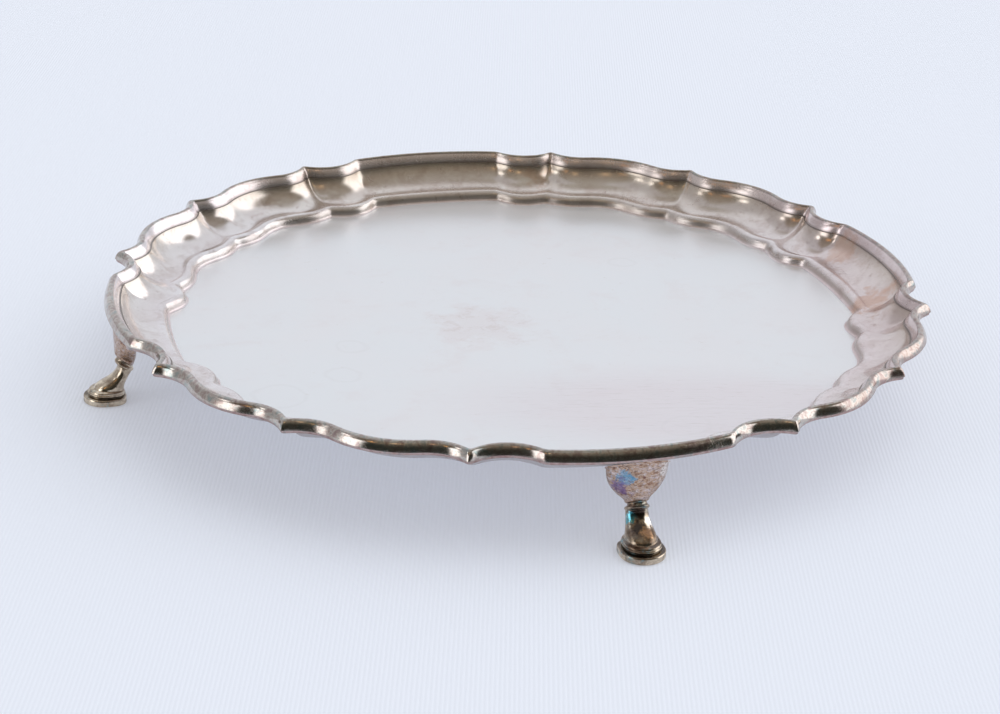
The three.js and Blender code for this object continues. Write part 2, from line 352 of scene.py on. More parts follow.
# Leg, from the sole up: the two tiers of the hoof, the sloping instep, the shank and the collar.
LEG_RINGS = (
    (97.1, 0.00, 106.1, 0.00, 4.5, 0.5),
    (96.6, 0.28, 106.6, 0.28, 5.0, 0.5),
    (96.6, 0.9, 106.6, 0.9, 5.02, 0.5),
    (96.6, 1.45, 106.6, 1.45, 5.0, 0.5),
    (96.9, 1.72, 106.3, 1.72, 4.7, 0.5),
    (97.3, 1.78, 105.3, 1.78, 3.9, 0.5),
    (97.35, 2.0, 105.2, 2.0, 3.8, 0.5),
    (97.0, 2.18, 105.4, 2.18, 4.1, 0.5),
    (96.9, 2.45, 105.6, 2.45, 4.2, 0.5),
    (97.0, 2.62, 105.4, 2.62, 4.05, 0.5),
    (97.0, 2.70, 105.3, 2.70, 4.0, 0.5),
    (97.0, 2.85, 105.3, 2.85, 4.05, 0.5),
    (97.0, 3.10, 105.1, 3.12, 3.95, 0.5),
    (97.05, 3.22, 104.5, 3.25, 3.6, 0.5),
    (97.1, 3.34, 104.1, 3.40, 3.4, 0.48),
    (97.0, 3.7, 103.8, 3.9, 3.35, 0.46),
    (96.9, 4.1, 103.1, 4.45, 3.25, 0.45),
    (96.7, 4.6, 102.1, 5.0, 3.1, 0.45),
    (96.4, 5.1, 101.0, 5.6, 2.95, 0.45),
    (96.1, 5.7, 100.0, 6.3, 2.8, 0.45),
    (95.8, 6.3, 99.2, 7.1, 2.65, 0.45),
    (95.4, 6.9, 98.6, 8.0, 2.55, 0.45),
    (95.1, 7.35, 98.35, 8.8, 2.5, 0.45),
    (95.0, 7.45, 98.3, 9.15, 2.48, 0.45),
    (94.7, 7.6, 98.75, 9.5, 2.6, 0.45),
    (94.6, 7.85, 98.95, 9.9, 2.72, 0.45),
    (94.7, 8.15, 98.85, 10.3, 2.65, 0.45),
    (94.9, 8.35, 98.6, 10.5, 2.4, 0.45),
    (95.0, 8.5, 98.4, 10.75, 2.2, 0.45),
    (95.1, 8.9, 98.3, 11.1, 2.1, 0.45),
)


# How square the back of each piece is, where 2 is round. The leg's eases from the hoof's to the shank's
# over a few rings above the hoof's last one.
HOOF_SQUARENESS = 3.4
SHANK_SQUARENESS = 2.2
KNEE_SQUARENESS = 2.6
LAST_HOOF_RING = 13
EASING_RINGS = 5
FOOT_SHARP_DEGREES = 60


def leg_bmesh(sides=64, rows_per_ring=4):
    """One leg: its rings joined by a smooth skin."""
    spans = len(LEG_RINGS) - 1
    rows = spans * rows_per_ring + 1

    def place(row, column):
        t = row / (rows - 1)
        blend = min(1.0, max(0.0, (t * spans - LAST_HOOF_RING) / EASING_RINGS))
        squareness = HOOF_SQUARENESS * (1 - blend) + SHANK_SQUARENESS * blend
        return loft_point(spline(LEG_RINGS, t), math.tau * column / sides, squareness)

    return wrapped_skin(rows, sides, place, FOOT_SHARP_DEGREES)


def knee_bmesh(sides=72, rows=60):
    """One knee: its stations joined by a smooth skin."""

    def place(row, column):
        station = spline(KNEE_STATIONS, row / (rows - 1))
        return loft_point(station, math.tau * column / sides, KNEE_SQUARENESS)

    return wrapped_skin(rows, sides, place, FOOT_SHARP_DEGREES)


# ---------------------------------------------------------------- shader node groups


def rgba(colour):
    """Colour with full opacity."""
    return (*colour, 1.0)


class Nodes:
    """Short way to add and link shader nodes in one tree."""

    def __init__(self, tree):
        self.tree = tree

    def add(self, kind, inputs=None, **settings):
        node = self.tree.nodes.new(kind)
        for key, value in settings.items():
            setattr(node, key, value)
        for key, value in (inputs or {}).items():
            if isinstance(value, bpy.types.NodeSocket):
                self.tree.links.new(value, node.inputs[key])
            else:
                node.inputs[key].default_value = value
        return node

    def math(self, operation, a, b=0.0):
        return self.add("ShaderNodeMath", {0: a, 1: b}, operation=operation).outputs[0]

    def ramp(self, value, low, high, out_low=0.0, out_high=1.0):
        return self.add(
            "ShaderNodeMapRange",
            {"Value": value, "From Min": low, "From Max": high, "To Min": out_low, "To Max": out_high},
            interpolation_type="SMOOTHSTEP",
        ).outputs[0]

    def mix(self, factor, a, b, blend="MIX"):
        return self.add(
            "ShaderNodeMix", {0: factor, 6: a, 7: b}, data_type="RGBA", blend_type=blend
        ).outputs[2]

    def tint(self, colour, mask, strength, shade, blend="MIX"):
        """Lays a shade over a colour, as far as a mask and a strength say."""
        return self.mix(self.math("MULTIPLY", mask, strength), colour, rgba(shade), blend)

    def distance(self, a, b):
        return self.add("ShaderNodeVectorMath", {0: a, 1: b}, operation="DISTANCE").outputs["Value"]

    def dot(self, a, b):
        return self.add("ShaderNodeVectorMath", {0: a, 1: b}, operation="DOT_PRODUCT").outputs["Value"]

    def colours(self, value, stops):
        """Colour ramp through (position, colour) stops."""
        node = self.add("ShaderNodeValToRGB", {"Fac": value})
        while len(node.color_ramp.elements) < len(stops):
            node.color_ramp.elements.new(0.5)
        for element, (position, colour) in zip(node.color_ramp.elements, stops):
            element.position = position
            element.color = rgba(colour)
        return node.outputs[0]

    def noise(self, vector, scale, detail=3.0, roughness=0.55, distortion=0.0):
        return self.add(
            "ShaderNodeTexNoise",
            {
                "Vector": vector, "Scale": scale, "Detail": detail,
                "Roughness": roughness, "Distortion": distortion,
            },
        ).outputs["Fac"]


def new_group(name, vectors, floats):
    """An empty shader group that takes named vectors and floats, these with defaults, and gives a mask."""
    group = bpy.data.node_groups.new(name, "ShaderNodeTree")
    for label in vectors:
        group.interface.new_socket(label, in_out="INPUT", socket_type="NodeSocketVector")
    for label, value in floats.items():
        socket = group.interface.new_socket(label, in_out="INPUT", socket_type="NodeSocketFloat")
        socket.default_value = value
    group.interface.new_socket("Mask", in_out="OUTPUT", socket_type="NodeSocketFloat")
    given = group.nodes.new("NodeGroupInput").outputs
    return group, Nodes(group), given, group.nodes.new("NodeGroupOutput").inputs


def between(n, value, low, high, blur):
    """Mask of a value lying in a range, with soft ends."""
    rise = n.ramp(value, low - blur, low + blur)
    fall = n.ramp(value, high - blur, high + blur, 1.0, 0.0)
    return n.math("MULTIPLY", rise, fall)


def tarnish_group():
    """Cloudy patches: a broad cloud broken up by a finer one."""
    group, n, given, out = new_group(
        "Tarnish Clouds", ("Vector",), {"Scale": 30.0, "Spread": 0.5, "Softness": 0.15}
    )
    broad = n.noise(given["Vector"], given["Scale"], 4.0, 0.6, 0.6)
    fine_scale = n.math("MULTIPLY", given["Scale"], 5.3)
    fine = n.noise(given["Vector"], fine_scale, 5.0, 0.65, 0.2)
    mixed = n.math("ADD", n.math("MULTIPLY", broad, 0.72), n.math("MULTIPLY", fine, 0.28))
    low = n.math("SUBTRACT", given["Spread"], given["Softness"])
    high = n.math("ADD", given["Spread"], given["Softness"])
    n.tree.links.new(n.ramp(mixed, low, high), out["Mask"])
    return group


def scratch_group():
    """Fine curved hairlines: long thin noise, cut to its crests and broken along its length."""
    group, n, given, out = new_group("Fine Scratches", ("Vector", "Turn"), {"Scale": 90.0, "Amount": 0.5})
    wander = n.add("ShaderNodeTexNoise", {"Vector": given["Vector"], "Scale": 14.0, "Detail": 1.0})
    bend = wander.outputs["Color"]
    shift = n.add("ShaderNodeVectorMath", {0: bend, 1: (0.5, 0.5, 0.5)}, operation="SUBTRACT").outputs[0]
    shift = n.add("ShaderNodeVectorMath", {0: shift, "Scale": 0.005}, operation="SCALE").outputs[0]
    bent = n.add("ShaderNodeVectorMath", {0: given["Vector"], 1: shift}, operation="ADD").outputs[0]
    turned = n.add("ShaderNodeMapping", {"Vector": bent, "Rotation": given["Turn"]}).outputs[0]
    stretched = n.add("ShaderNodeMapping", {"Vector": turned, "Scale": (1.0, 34.0, 1.0)}).outputs[0]
    lines = n.noise(stretched, given["Scale"], 2.0, 0.6)
    crest = n.math("ABSOLUTE", n.math("SUBTRACT", lines, 0.5))
    thin = n.ramp(crest, 0.0, 0.018, 1.0, 0.0)
    patch = n.noise(turned, 60.0, 2.0, 0.5)
    cut = n.math("SUBTRACT", 1.0, given["Amount"])
    gate = n.ramp(patch, cut, n.math("ADD", cut, 0.15))
    n.tree.links.new(n.math("MULTIPLY", thin, gate), out["Mask"])
    return group


def drop_group():
    """A dried drop: a thin wavering ring."""
    group, n, given, out = new_group("Dried Drop", ("Vector", "Centre"), {"Radius": 0.008, "Width": 0.001})
    waver = n.math("MULTIPLY", n.math("SUBTRACT", n.noise(given["Vector"], 90.0, 2.0), 0.5), 0.006)
    gap = n.distance(given["Vector"], given["Centre"])
    off = n.math("ABSOLUTE", n.math("SUBTRACT", n.math("ADD", gap, waver), given["Radius"]))
    n.tree.links.new(n.ramp(off, 0.0, given["Width"], 1.0, 0.0), out["Mask"])
    return group


def spot_group():
    """A soft round spot: for a stain or a worn place, and also for painted highlights and dark reflections.
    """
    group, n, given, out = new_group("Soft Spot", ("Vector", "Centre"), {"Radius": 0.01, "Raggedness": 0.4})
    gap = n.distance(given["Vector"], given["Centre"])
    share = n.math("DIVIDE", gap, given["Radius"])
    fringe = n.noise(given["Vector"], n.math("DIVIDE", 2.2, given["Radius"]), 4.0, 0.65)
    ragged = n.math("MULTIPLY", n.math("SUBTRACT", fringe, 0.5), n.math("MULTIPLY", given["Raggedness"], 4.0))
    n.tree.links.new(n.ramp(n.math("ADD", share, ragged), 0.35, 1.0, 1.0, 0.0), out["Mask"])
    return group


GROUP_MAKERS = {"tarnish": tarnish_group, "scratch": scratch_group, "drop": drop_group, "spot": spot_group}
GROUPS = {}


def use_group(n, name, **inputs):
    """Places a shared effect in a material with its own values, and returns its mask."""
    if name not in GROUPS:
        GROUPS[name] = GROUP_MAKERS[name]()
    node = n.tree.nodes.new("ShaderNodeGroup")
    node.node_tree = GROUPS[name]
    for key, value in inputs.items():
        if isinstance(value, bpy.types.NodeSocket):
            n.tree.links.new(value, node.inputs[key])
        else:
            node.inputs[key].default_value = value
    return node.outputs["Mask"]


def metal_material(name, metallic=1.0):
    """A new metal: the material, its nodes, its Principled shader and the position on the piece."""
    material = bpy.data.materials.new(name)
    material.use_nodes = True
    material.node_tree.nodes.clear()
    n = Nodes(material.node_tree)
    shader = n.add("ShaderNodeBsdfPrincipled", {"Metallic": metallic})
    output = n.add("ShaderNodeOutputMaterial")
    material.node_tree.links.new(shader.outputs[0], output.inputs["Surface"])
    place = n.add("ShaderNodeTexCoord").outputs["Object"]
    return material, n, shader, place


def plate_material(finish):
    """Silver worn to a soft sheen, with clouds, specks, dried drops, hairlines and a rubbed patch."""
    material, n, shader, place = metal_material("plate_silver", 0.60)
    clouds = use_group(n, "tarnish", Vector=place, Scale=20.0, Spread=0.52, Softness=0.16)
    grime = use_group(n, "tarnish", Vector=place, Scale=75.0, Spread=0.60, Softness=0.10)
    colour = n.tint(rgba(finish.plate_colour), clouds, 0.7, (0.86, 0.84, 0.86))
    colour = n.tint(colour, grime, 0.28, (0.80, 0.72, 0.72))

    stain_place = (-0.010, -0.005, PLATE_LEVEL)
    stain = use_group(n, "spot", Vector=place, Centre=stain_place, Radius=0.016, Raggedness=0.5)
    stain_specks = use_group(n, "tarnish", Vector=place, Scale=260.0, Spread=0.55, Softness=0.06)
    specks = use_group(n, "tarnish", Vector=place, Scale=420.0, Spread=0.66, Softness=0.04)
    specks = n.math("MAXIMUM", specks, n.math("MULTIPLY", stain, stain_specks))
    colour = n.tint(colour, stain, 0.42, (0.80, 0.72, 0.72))
    colour = n.tint(colour, specks, 0.34, (0.66, 0.56, 0.54))

    turned = n.add("ShaderNodeMapping", {"Vector": place, "Rotation": (0, 0, VIEWER_TURN)}).outputs[0]
    squeezed = n.add("ShaderNodeMapping", {"Vector": turned, "Scale": (1.0, 2.6, 1.0)}).outputs[0]
    rubbed_place = (0.044, -0.138, PLATE_LEVEL)
    rubbed = use_group(n, "spot", Vector=squeezed, Centre=rubbed_place, Radius=0.075, Raggedness=0.06)
    colour = n.tint(colour, rubbed, 0.55, (0.80, 0.72, 0.75))

    fine = use_group(n, "scratch", Vector=place, Turn=(0, 0, 0.35), Scale=60.0, Amount=0.52)
    cross = use_group(n, "scratch", Vector=place, Turn=(0, 0, -0.30), Scale=80.0, Amount=0.46)
    heavy = use_group(n, "scratch", Vector=place, Turn=(0, 0, 0.22), Scale=48.0, Amount=0.80)
    worn = n.math("MULTIPLY", heavy, rubbed)
    marks = n.math("MAXIMUM", n.math("MULTIPLY", n.math("MAXIMUM", fine, cross), 0.08), worn)
    colour = n.tint(colour, marks, 0.55, (0.66, 0.60, 0.61))

    drops = 0.0
    for (x, y), radius in DRIED_DROPS:
        ring = use_group(n, "drop", Vector=place, Centre=(x, y, PLATE_LEVEL), Radius=radius, Width=0.0009)
        drops = n.math("MAXIMUM", drops, ring)
    colour = n.tint(colour, drops, 0.15, (0.70, 0.68, 0.68))

    unevenness = n.noise(place, 26.0, 2.0)
    bump = n.add("ShaderNodeBump", {"Strength": 0.15, "Distance": 0.0004, "Height": unevenness})
    scratch_bump = n.add(
        "ShaderNodeBump", {"Strength": 0.04, "Distance": 0.00002, "Height": worn, "Normal": bump.outputs[0]}
    )
    n.tree.links.new(colour, shader.inputs["Base Color"])
    n.tree.links.new(n.ramp(clouds, 0, 1, 0.20, 0.26), shader.inputs["Roughness"])
    n.tree.links.new(scratch_bump.outputs[0], shader.inputs["Normal"])
    return material


# Dried drops on the plate: place on it and radius, in metres.
DRIED_DROPS = (
    ((-0.049, -0.028), 0.0042),
    ((-0.066, -0.036), 0.0060),
    ((-0.044, -0.012), 0.0030),
    ((0.020, -0.070), 0.0050),
    ((0.038, 0.030), 0.0035),
)

# Colour of the border across its section: the silver's own tone, with painted shade laid in. The painted
# shade is the near-black line in the step under the band, the dark groove, a darker stripe on the bead's face
# and the dim underside. Each stop is (section curve, colour, roughness, metal share), and the curves are
# numbered as in SECTION_CURVES.
BORDER_TONES_AND_PAINTED_SHADE = (
    (0.0, (0.56, 0.47, 0.48), 0.22, 0.92),
    (2.0, (0.56, 0.46, 0.46), 0.22, 0.92),
    # painted shade: near-black line in the step under the band
    (2.5, (0.07, 0.06, 0.06), 0.30, 1.00),
    (3.1, (0.66, 0.65, 0.63), 0.12, 1.00),
    (3.9, (0.66, 0.65, 0.64), 0.12, 1.00),
    (4.8, (0.55, 0.55, 0.56), 0.14, 1.00),
    (5.1, (0.84, 0.80, 0.81), 0.16, 0.86),
    (5.8, (0.80, 0.76, 0.77), 0.18, 0.86),
    # painted shade: the groove darkened
    (6.1, (0.24, 0.22, 0.21), 0.26, 0.92),
    (6.8, (0.26, 0.23, 0.20), 0.26, 0.92),
    (7.06, (0.70, 0.66, 0.60), 0.14, 0.92),
    (7.5, (0.84, 0.81, 0.79), 0.12, 0.92),
    (8.2, (0.92, 0.89, 0.90), 0.15, 0.88),
    (9.2, (0.90, 0.88, 0.89), 0.18, 0.84),
    # painted shade: a darker stripe on the bead's steep face
    (9.8, (0.66, 0.64, 0.62), 0.24, 0.88),
    (10.6, (0.84, 0.78, 0.79), 0.28, 0.76),
    # painted shade: the underside dimmed like the shaded cloth below it
    (11.6, (0.58, 0.57, 0.59), 0.62, 0.40),
)


# Colours that mottle the band and its lip, from brown to teal, and the section curves that they cover.
BAND_CURVES = (0.4, 4.8)
BAND_MOTTLE = (
    (0.30, (0.40, 0.18, 0.20)),
    (0.43, (0.62, 0.48, 0.40)),
    (0.52, (1.00, 0.96, 0.86)),
    (0.60, (0.50, 0.56, 0.52)),
    (0.72, (0.34, 0.66, 0.64)),
)


def border_material(finish):
    """Silver coloured across the moulding: mottled band, brown groove darkened as painted shade, clean cove
    and dull bead. Painted shade also lies in the step under the band, on the bead's face, on the underside,
    and as tinted films on the back and right sides.
    """
    material, n, shader, place = metal_material("border_silver")
    last = len(SECTION_CURVES)
    across = n.add("ShaderNodeAttribute", attribute_name="across").outputs["Fac"]
    share = n.math("DIVIDE", across, float(last))
    # Colour across the section, with painted shade in the step under the band, the groove, the bead's face
    # and the underside.
    shade = n.colours(share, [(at / last, tint) for at, tint, _, _ in BORDER_TONES_AND_PAINTED_SHADE])
    sheen = n.colours(share, [(at / last, (r, r, r)) for at, _, r, _ in BORDER_TONES_AND_PAINTED_SHADE])
    metal = n.colours(share, [(at / last, (m, m, m)) for at, _, _, m in BORDER_TONES_AND_PAINTED_SHADE])
    colour = n.mix(1.0, shade, rgba(finish.border_colour), "MULTIPLY")

    clouds = use_group(n, "tarnish", Vector=place, Scale=55.0, Spread=0.52, Softness=0.14)
    grime = use_group(n, "tarnish", Vector=place, Scale=190.0, Spread=0.56, Softness=0.10)
    specks = use_group(n, "tarnish", Vector=place, Scale=520.0, Spread=0.62, Softness=0.06)
    colour = n.tint(colour, clouds, 0.55, (0.86, 0.81, 0.81), "MULTIPLY")
    colour = n.tint(colour, grime, 0.50, (0.74, 0.66, 0.62), "MULTIPLY")
    colour = n.tint(colour, specks, 0.45, (0.50, 0.40, 0.36), "MULTIPLY")
    mottle = n.colours(n.noise(place, 460.0, 4.0, 0.7, 0.4), BAND_MOTTLE)
    on_band = between(n, across, *BAND_CURVES, 0.3)
    colour = n.mix(n.math("MULTIPLY", on_band, 0.6), colour, mottle, "MULTIPLY")
    for centre, radius, strength in BORDER_STAINS:
        stain = use_group(n, "spot", Vector=place, Centre=centre, Radius=radius, Raggedness=0.6)
        colour = n.tint(colour, stain, strength, (0.62, 0.36, 0.22))

    dullness = n.math("ADD", n.math("MULTIPLY", clouds, 0.05), n.math("MULTIPLY", specks, 0.08))
    roughness = n.math("ADD", sheen, dullness)
    # Each film's tint is painted shade on the back and right sides; its added roughness dulls them.
    for side, start, tint, dulling in BORDER_DULLING_AND_SIDE_SHADE:
        dulling_and_shade_mask = n.ramp(n.dot(place, side), start, start + DULLING_AND_SHADE_FADE)
        colour = n.mix(dulling_and_shade_mask, colour, rgba(tint), "MULTIPLY")
        roughness = n.math("ADD", roughness, n.math("MULTIPLY", dulling_and_shade_mask, dulling))

    lines = use_group(n, "scratch", Vector=place, Turn=(0.3, 0.2, 0.9), Scale=140.0, Amount=0.5)
    waves = n.noise(place, 70.0, 2.0)
    bump = n.add("ShaderNodeBump", {"Strength": 0.14, "Distance": 0.0005, "Height": waves})
    scratch_bump = n.add(
        "ShaderNodeBump", {"Strength": 0.25, "Distance": 0.00002, "Height": lines, "Normal": bump.outputs[0]}
    )
    n.tree.links.new(colour, shader.inputs["Base Color"])
    n.tree.links.new(metal, shader.inputs["Metallic"])
    n.tree.links.new(roughness, shader.inputs["Roughness"])
    n.tree.links.new(scratch_bump.outputs[0], shader.inputs["Normal"])
    return material


# Dull films on the border, growing towards the back and the right: the side each grows towards, how far out
# it starts, its tint and its added roughness.
# The tint is painted shade that colours these sides like the dim room they face; the roughness dulls them.
# Each fades in over the same distance.
BORDER_DULLING_AND_SIDE_SHADE = (
    ((0.27, 0.96, 0.0), 0.045, (0.93, 0.89, 0.82), 0.07),
    ((0.96, -0.27, 0.0), 0.050, (0.95, 0.88, 0.87), 0.04),
)
DULLING_AND_SHADE_FADE = 0.04

# Brown stains in the border: centre, radius and strength.
BORDER_STAINS = (
    ((0.088, -0.016, 0.018), 0.009, 0.55),
    ((0.093, 0.014, 0.019), 0.007, 0.40),
    ((0.030, 0.089, 0.018), 0.006, 0.30),
)

# Heat colours on the knees, from the deepest tarnish to the cleanest silver.
KNEE_TINTS = (
    (0.26, (0.05, 0.07, 0.20)),
    (0.36, (0.14, 0.07, 0.10)),
    (0.43, (0.30, 0.16, 0.10)),
    (0.49, (0.60, 0.44, 0.32)),
    (0.55, (0.50, 0.40, 0.39)),
    (0.63, (0.88, 0.78, 0.76)),
)


# Spots of colour on the front knee and the front leg: centre, radius and colour. On the knee, the blue and
# violet are blooms of tarnish and the pale spot is a painted highlight.
# On the leg, all are painted light: dark reflections below the collar, a teal and a gold reflection and a
# white highlight.
KNEE_TARNISH_AND_HIGHLIGHT_SPOTS = (
    ((-0.0038, -0.0985, 0.0168), 0.0026, (0.12, 0.36, 0.56)),
    ((-0.0046, -0.0978, 0.0142), 0.0026, (0.20, 0.12, 0.30)),
    # painted highlight: a pale spot on the right edge of the front knee
    ((0.0064, -0.0966, 0.0172), 0.0036, (0.92, 0.86, 0.82)),
)
LEG_PAINTED_LIGHT_SPOTS = (
    ((-0.0004, -0.0988, 0.0086), 0.0027, (0.04, 0.02, 0.02)),
    ((-0.0008, -0.1006, 0.0062), 0.0021, (0.07, 0.06, 0.06)),
    ((-0.0024, -0.0985, 0.0074), 0.0018, (0.10, 0.52, 0.66)),
    ((0.0008, -0.1016, 0.0050), 0.0019, (0.80, 0.50, 0.28)),
    ((0.0024, -0.0990, 0.0066), 0.0016, (0.95, 0.92, 0.90)),
)

# Heights between which the groove over the sole lies, in metres, where it is painted dark as shade, and how
# fine the cloth's ribs are.
SOLE_GROOVE = (0.00172, 0.00208)
RIB_SCALE = 340.0


def knee_material():
    """Cast silver left uncleaned, mottled copper, gold, violet and blue, with a pale spot on the front knee
    painted as a highlight.
    """
    material, n, shader, place = metal_material("knee_silver")
    brushed = n.add("ShaderNodeMapping", {"Vector": place, "Scale": (1.0, 1.0, 1.9)}).outputs[0]
    clouds = n.noise(brushed, 560.0, 9.0, 0.85, 0.2)
    colour = n.colours(clouds, KNEE_TINTS)
    # Blue and violet tarnish on the front knee, and a pale spot painted as a highlight.
    for centre, radius, spot_colour in KNEE_TARNISH_AND_HIGHLIGHT_SPOTS:
        spot = use_group(n, "spot", Vector=place, Centre=centre, Radius=radius, Raggedness=0.8)
        colour = n.tint(colour, spot, n.ramp(clouds, 0.36, 0.62, 0.95, 0.55), spot_colour)
    specks = use_group(n, "tarnish", Vector=brushed, Scale=1300.0, Spread=0.56, Softness=0.08)
    colour = n.tint(colour, specks, 0.6, (0.09, 0.055, 0.055))
    bump = n.add("ShaderNodeBump", {"Strength": 0.7, "Distance": 0.00012, "Height": clouds})
    n.tree.links.new(colour, shader.inputs["Base Color"])
    n.tree.links.new(n.ramp(specks, 0, 1, 0.24, 0.45), shader.inputs["Roughness"])
    n.tree.links.new(bump.outputs[0], shader.inputs["Normal"])
    return material


def leg_material():
    """Cast silver gone golden brown, with painted shade darkening the groove over the sole. The front leg has
    painted light: dark reflections below the collar, teal and gold reflections and a white highlight.
    """
    material, n, shader, place = metal_material("leg_silver")
    clouds = use_group(n, "tarnish", Vector=place, Scale=150.0, Spread=0.50, Softness=0.16)
    specks = use_group(n, "tarnish", Vector=place, Scale=700.0, Spread=0.58, Softness=0.08)
    teal = use_group(n, "tarnish", Vector=place, Scale=230.0, Spread=0.60, Softness=0.06)
    colour = n.mix(clouds, (0.80, 0.69, 0.54, 1), (0.18, 0.12, 0.08, 1))
    colour = n.tint(colour, teal, 0.6, (0.16, 0.44, 0.52))
    # Painted light on the front leg: dark reflections below the collar, teal and gold reflections, a white
    # highlight.
    for centre, radius, spot_colour in LEG_PAINTED_LIGHT_SPOTS:
        spot = use_group(n, "spot", Vector=place, Centre=centre, Radius=radius, Raggedness=0.5)
        colour = n.tint(colour, spot, 0.9, spot_colour)
    colour = n.tint(colour, specks, 0.5, (0.12, 0.08, 0.06))
    height = n.add("ShaderNodeSeparateXYZ", {0: place}).outputs["Z"]
    # Painted shade: the groove over the sole is darkened nearly to black.
    groove = between(n, height, *SOLE_GROOVE, 0.00015)
    colour = n.tint(colour, groove, 0.75, (0.03, 0.025, 0.02))
    bump = n.add("ShaderNodeBump", {"Strength": 0.2, "Distance": 0.0001, "Height": clouds})
    n.tree.links.new(colour, shader.inputs["Base Color"])
    n.tree.links.new(n.ramp(clouds, 0, 1, 0.12, 0.24), shader.inputs["Roughness"])
    n.tree.links.new(bump.outputs[0], shader.inputs["Normal"])
    return material


def cloth_material(finish):
    """Thin pale cloth with fine ribs, which glows evenly as painted fill light that lifts the shade round and
    under the tray.
    """
    material = bpy.data.materials.new("ribbed_cloth")
    material.use_nodes = True
    n = Nodes(material.node_tree)
    shader = material.node_tree.nodes["Principled BSDF"]
    shader.inputs["Roughness"].default_value = 0.95
    shader.inputs["Specular IOR Level"].default_value = 0.1
    shader.inputs["Emission Strength"].default_value = 1.0
    place = n.add("ShaderNodeTexCoord").outputs["Object"]
    turned = n.add("ShaderNodeMapping", {"Vector": place, "Rotation": (0, 0, VIEWER_TURN)}).outputs[0]
    wave = {"Vector": turned, "Scale": RIB_SCALE, "Distortion": 0.3, "Detail": 1.0}
    ribs = n.add("ShaderNodeTexWave", wave, bands_direction="X").outputs["Fac"]
    colour = n.tint(rgba(finish.cloth_colour), ribs, 0.14, (0.435, 0.465, 0.54))
    # Painted fill light, a little weaker along the ribs.
    glow = n.tint(rgba(finish.cloth_painted_fill_glow), ribs, 0.10, (0.21, 0.21, 0.22))
    bump = n.add("ShaderNodeBump", {"Strength": 0.2, "Distance": 0.0003, "Height": ribs})
    n.tree.links.new(colour, shader.inputs["Base Color"])
    n.tree.links.new(glow, shader.inputs["Emission Color"])
    n.tree.links.new(bump.outputs[0], shader.inputs["Normal"])
    return material


# ---------------------------------------------------------------- operators


class SALVER_OT_plate(bpy.types.Operator):
    """Build the flat plate"""

    bl_idname = "salver.plate"
    bl_label = "Plate"

    def execute(self, context):
        sizes = context.scene.salver_sizes
        outer, inner = border_plan(sizes)
        share = PLATE_REACH / BORDER_WIDTH
        bm = bmesh.new()
        bmesh.ops.create_circle(bm, cap_ends=True, radius=1, segments=len(outer))
        bm.verts.ensure_lookup_table()
        for vert, far, near in zip(bm.verts, outer, inner):
            point = far * (1 - share) + near * share
            vert.co = Vector((point.real * MM, point.imag * MM, sizes.plate_top))
        top = bm.faces[:]
        grown = bmesh.ops.extrude_face_region(bm, geom=top)
        lowered = [g for g in grown["geom"] if isinstance(g, bmesh.types.BMVert)]
        bmesh.ops.translate(bm, verts=lowered, vec=(0, 0, sizes.plate_underside - sizes.plate_top))
        bmesh.ops.scale(bm, verts=lowered, vec=(PLATE_TAPER, PLATE_TAPER, 1))
        bmesh.ops.recalc_face_normals(bm, faces=bm.faces)
        material = plate_material(context.scene.salver_finish)
        finish_piece(bm, "plate", material, "tray_plate")
        return {"FINISHED"}


class SALVER_OT_border(bpy.types.Operator):
    """Build the four lengths of scalloped border"""

    bl_idname = "salver.border"
    bl_label = "Border"

    def execute(self, context):
        material = border_material(context.scene.salver_finish)
        for index, side in enumerate(SIDES):
            bm = border_bmesh(context.scene.salver_sizes)
            node = f"border_section_{side}"
            finish_piece(bm, f"border_{side}", material, node, QUARTER * index)
        return {"FINISHED"}


class SALVER_OT_knees(bpy.types.Operator):
    """Build the four half-bowl knees"""

    bl_idname = "salver.knees"
    bl_label = "Knees"

    def execute(self, context):
        material = knee_material()
        for index, side in enumerate(SIDES):
            node = f"knee_bracket_{side}"
            finish_piece(knee_bmesh(), f"knee_{side}", material, node, QUARTER * index)
        return {"FINISHED"}


class SALVER_OT_legs(bpy.types.Operator):
    """Build the four hoof legs"""

    bl_idname = "salver.legs"
    bl_label = "Legs"

    def execute(self, context):
        material = leg_material()
        for index, side in enumerate(SIDES):
            node = f"hoof_leg_{side}"
            finish_piece(leg_bmesh(), f"leg_{side}", material, node, QUARTER * index)
        return {"FINISHED"}


# Camera: angle round the tray, height angle, distance in metres, roll, focal length, and the point aimed at.
CAMERA = {"turn": -15.86, "pitch": 23.29, "distance": 0.5182, "roll": 1.82, "lens": 81.89}
AIM = (-0.00356, -0.0467, 0.0225)


def make_camera():
    """Puts the camera back from its aim point, looking down at the tray."""
    turn = Matrix.Rotation(math.radians(CAMERA["turn"]), 4, "Z")
    tilt = Matrix.Rotation(math.radians(90 - CAMERA["pitch"]), 4, "X")
    roll = Matrix.Rotation(math.radians(CAMERA["roll"]), 4, "Z")
    distance = Matrix.Translation((0, 0, CAMERA["distance"]))
    camera = bpy.data.objects.new("camera", bpy.data.cameras.new("camera"))
    bpy.context.scene.collection.objects.link(camera)
    camera.data.lens = CAMERA["lens"]
    camera.data.clip_start = 0.01
    camera.matrix_world = turn @ Matrix.Translation(AIM) @ tilt @ distance @ roll
    bpy.context.scene.camera = camera


# The studio as the tray sees it, in degrees. Azimuth 0 is towards the viewer and grows to the viewer's
# right; elevation is above the table. Each soft box has its azimuths, its elevations and how brightly it
# shines, and both boxes have edges that fade over the same azimuth and elevation.
BOX_FADE = (5, 3)
SOFT_BOXES = (
    ((-74, -50), (-10, 34), 2.2),
    ((78, 138), (-10, 46), 1.9),
)
